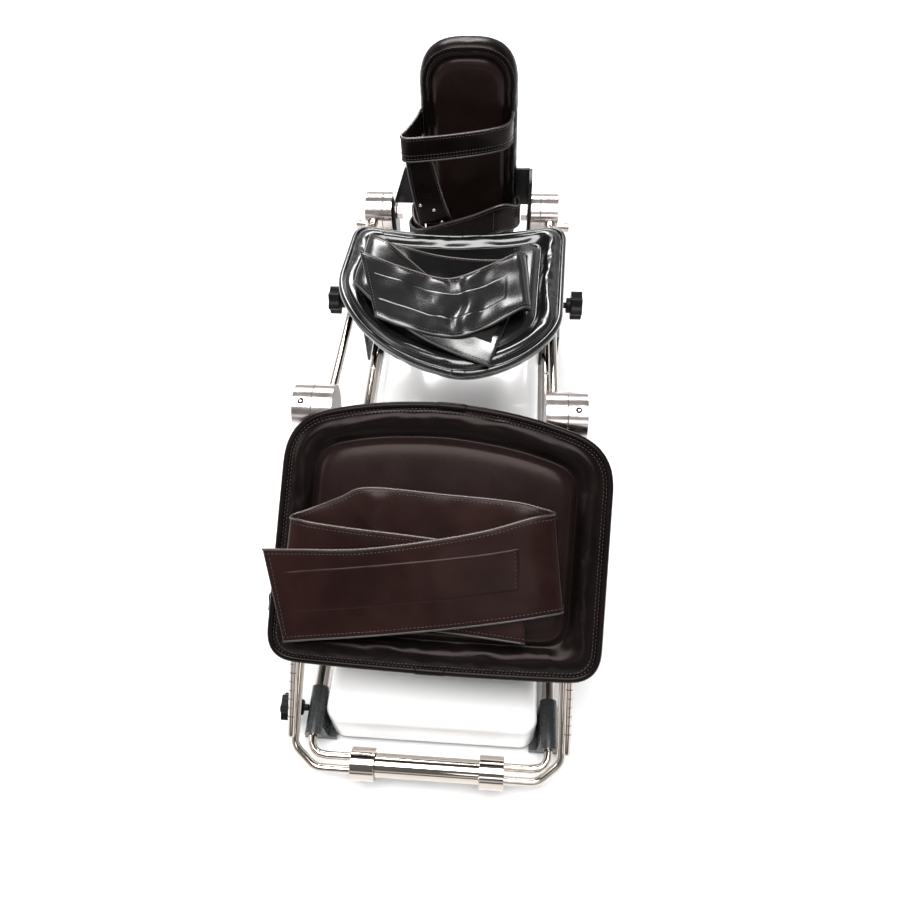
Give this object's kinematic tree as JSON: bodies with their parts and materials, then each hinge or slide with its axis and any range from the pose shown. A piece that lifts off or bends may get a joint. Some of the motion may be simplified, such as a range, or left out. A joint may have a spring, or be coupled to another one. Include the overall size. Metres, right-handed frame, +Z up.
{
  "type": "knee continuous passive motion machine",
  "caption": "Leg exerciser with a jointed thigh and calf link, leather cushions with belts and a foot boot, driven along two rails beside a low housing.",
  "frame": {"origin": "On the floor under the middle of the machine: the centre of the bottom of its bounding box.", "axes": "+Z up, +Y from the hip end to the foot end, +X to the right as seen from the hip end."},
  "size_m": [0.3747, 0.962, 0.526],
  "materials": {
    "white_shell": "glossy moulded shell",
    "chrome": "polished",
    "black_moulding": "semi-gloss moulded",
    "black_steel": "satin black paint",
    "steel": "machined",
    "bronze": "machined",
    "rubber_foot": "matte",
    "black_leather": "soft gloss with fine grain",
    "circuit_board": "solder mask"
  },
  "bodies": {
    "base": {"housing_cover": "white_shell", "base_tray": "steel", "rail_left": "chrome", "rail_right": "chrome", "hip_fitting_left": "black_moulding", "hip_fitting_right": "black_moulding", "foot_fitting_left": "black_moulding", "foot_fitting_right": "black_moulding", "hip_rubber_foot_left": "rubber_foot", "hip_rubber_foot_right": "rubber_foot", "foot_rubber_foot_left": "rubber_foot", "foot_rubber_foot_right": "rubber_foot", "gear_motor": "steel", "bearing_block": "steel", "control_board": "circuit_board", "power_inlet": "black_moulding"},
    "base_knob": {"base_lock_knob": "black_moulding"},
    "screw": {"lead_screw": "steel"},
    "drive": {"drive_nut": "bronze", "drive_slider": "steel"},
    "hip_bar": {"base_u_rod": "chrome", "hip_collar_left": "chrome", "hip_collar_right": "chrome", "hip_sleeve": "chrome"},
    "thigh": {"thigh_u_rod": "chrome", "thigh_clamp_left": "black_moulding", "thigh_clamp_right": "black_moulding", "thigh_cradle": "black_steel", "thigh_cushion": "black_leather", "thigh_belt": "black_leather"},
    "thigh_knob_l": {"thigh_knob_left": "black_moulding"},
    "thigh_knob_r": {"thigh_knob_right": "black_moulding"},
    "thigh_slide": {"thigh_rod_left": "chrome", "thigh_rod_right": "chrome", "knee_outer_disc_left": "chrome", "knee_outer_disc_right": "chrome"},
    "calf": {"knee_inner_disc_left": "chrome", "knee_inner_disc_right": "chrome", "calf_rod_left": "chrome", "calf_rod_right": "chrome"},
    "calf_slide": {"calf_tube_left": "chrome", "calf_tube_right": "chrome", "calf_clamp_left": "black_moulding", "calf_clamp_right": "black_moulding", "calf_cradle": "black_steel", "calf_cushion": "black_leather", "calf_belt": "black_leather", "ankle_outer_disc_left": "chrome", "ankle_outer_disc_right": "chrome"},
    "calf_knob_l": {"calf_knob_left": "black_moulding"},
    "calf_knob_r": {"calf_knob_right": "black_moulding"},
    "ankle_screw_l": {"ankle_screw_left": "chrome"},
    "ankle_screw_r": {"ankle_screw_right": "chrome"},
    "carriage": {"carriage_upright_left": "chrome", "carriage_upright_right": "chrome", "carriage_shoe_left": "black_moulding", "carriage_shoe_right": "black_moulding", "carriage_bridge": "steel"},
    "foot": {"foot_bracket": "black_steel", "foot_boot": "black_leather"}
  },
  "joints": [
    {"name": "hip", "type": "hinge", "parent": "hip_bar", "child": "thigh", "pos_m": [0, -0.4695, 0.05], "axis": [1, 0, 0], "range_deg": [-20, 30]},
    {"name": "hip_bar_slide", "type": "slide", "parent": "base", "child": "hip_bar", "axis": [0, -1, 0], "range_m": [0, 0.02]},
    {"name": "thigh_length", "type": "slide", "parent": "thigh", "child": "thigh_slide", "axis": [0, 0.8031, 0.5958], "range_m": [0, 0.03]},
    {"name": "knee", "type": "hinge", "parent": "thigh_slide", "child": "calf", "pos_m": [0, -0.14335, 0.3069], "axis": [1, 0, 0], "range_deg": [-52.8, 35.3]},
    {"name": "calf_length", "type": "slide", "parent": "calf", "child": "calf_slide", "axis": [0, 0.9959, -0.0903], "range_m": [-0.02, 0.01]},
    {"name": "ankle", "type": "hinge", "parent": "calf_slide", "child": "carriage", "pos_m": [0, 0.27065, 0.26937], "axis": [1, 0, 0], "range_deg": [-15.3, 23]},
    {"name": "foot_tilt", "type": "hinge", "parent": "carriage", "child": "foot", "pos_m": [0, 0.27065, 0.26937], "axis": [1, 0, 0], "range_deg": [-30, 26]},
    {"name": "drive_travel", "type": "slide", "parent": "base", "child": "drive", "axis": [0, 1, 0], "range_m": [-0.171, 0.114]},
    {"name": "screw_turn", "type": "hinge", "parent": "base", "child": "screw", "pos_m": [0, 0.131, 0.034], "axis": [0, 1, 0], "continuous": true},
    {"name": "base_knob_turn", "type": "hinge", "parent": "base", "child": "base_knob", "pos_m": [-0.17, -0.401, 0.05], "axis": [1, 0, 0], "continuous": true},
    {"name": "thigh_knob_left_turn", "type": "hinge", "parent": "thigh", "child": "thigh_knob_l", "pos_m": [-0.18, -0.31887, 0.16921], "axis": [1, 0, 0], "continuous": true},
    {"name": "thigh_knob_right_turn", "type": "hinge", "parent": "thigh", "child": "thigh_knob_r", "pos_m": [0.18, -0.31887, 0.16921], "axis": [1, 0, 0], "continuous": true},
    {"name": "calf_knob_left_turn", "type": "hinge", "parent": "calf_slide", "child": "calf_knob_l", "pos_m": [-0.158, 0.09857, 0.25083], "axis": [1, 0, 0], "continuous": true},
    {"name": "calf_knob_right_turn", "type": "hinge", "parent": "calf_slide", "child": "calf_knob_r", "pos_m": [0.158, 0.09857, 0.25083], "axis": [1, 0, 0], "continuous": true},
    {"name": "ankle_screw_left_turn", "type": "hinge", "parent": "calf_slide", "child": "ankle_screw_l", "pos_m": [-0.154, 0.26504, 0.2518], "axis": [1, 0, 0], "continuous": true},
    {"name": "ankle_screw_right_turn", "type": "hinge", "parent": "calf_slide", "child": "ankle_screw_r", "pos_m": [0.154, 0.26504, 0.2518], "axis": [1, 0, 0], "continuous": true}
  ],
  "couplings": [
    {"joint": "knee", "follows": "hip", "ratio": -1.757},
    {"joint": "ankle", "follows": "hip", "ratio": 0.757},
    {"joint": "drive_travel", "follows": "hip", "m_per_rad": -0.325},
    {"joint": "screw_turn", "follows": "hip", "ratio": -408.41}
  ]
}
